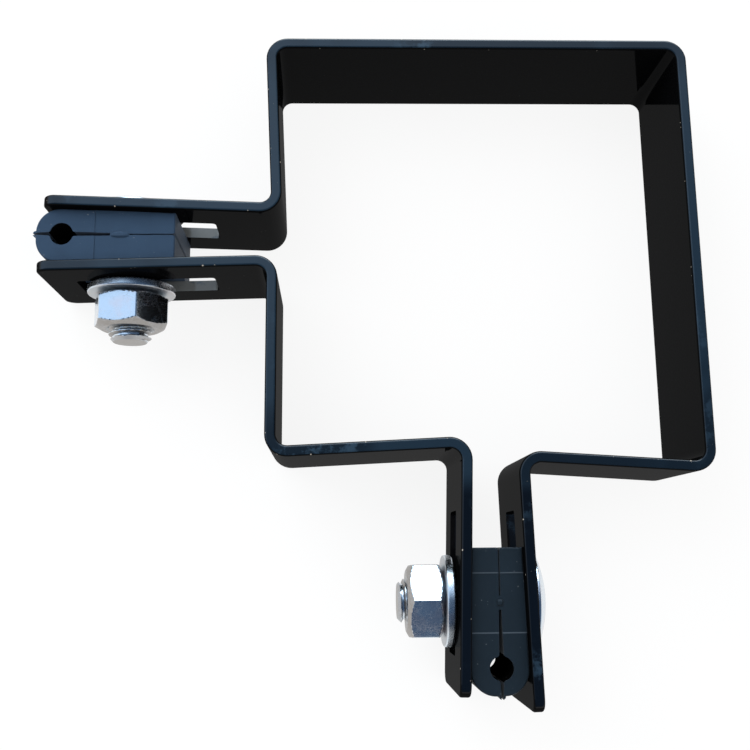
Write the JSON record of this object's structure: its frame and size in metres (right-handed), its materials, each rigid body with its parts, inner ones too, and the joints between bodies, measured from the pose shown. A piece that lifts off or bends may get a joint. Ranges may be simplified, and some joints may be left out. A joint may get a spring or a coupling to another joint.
{
  "type": "corner post clamp",
  "caption": "Two folded steel straps that close round a square post, bolted together through slotted rubber grips that each hold a fence wire.",
  "frame": {"origin": "on the axis of the post, at the centre of the square opening, in the plane of the straps' lower edges", "axes": "+Z along the post, away from the surface the clamp lies on; -X towards the left pair of flanges; -Y towards the lower pair"},
  "size_m": [0.1528, 0.1537, 0.03],
  "materials": {
    "black_paint": "gloss black paint on steel, light scuffs and dust, chipped along the edges",
    "grip_rubber": "matte blue-grey moulded rubber, dusty",
    "zinc": "bright bluish zinc plate, finely scratched"
  },
  "bodies": {
    "root": {"outer_strap": "black_paint", "inner_strap": "black_paint", "left_grip": "grip_rubber", "lower_grip": "grip_rubber", "left_bolt": "zinc", "lower_bolt": "zinc", "left_washer": "zinc", "lower_washer": "zinc", "left_nut": "zinc", "lower_nut": "zinc"}
  },
  "joints": []
}
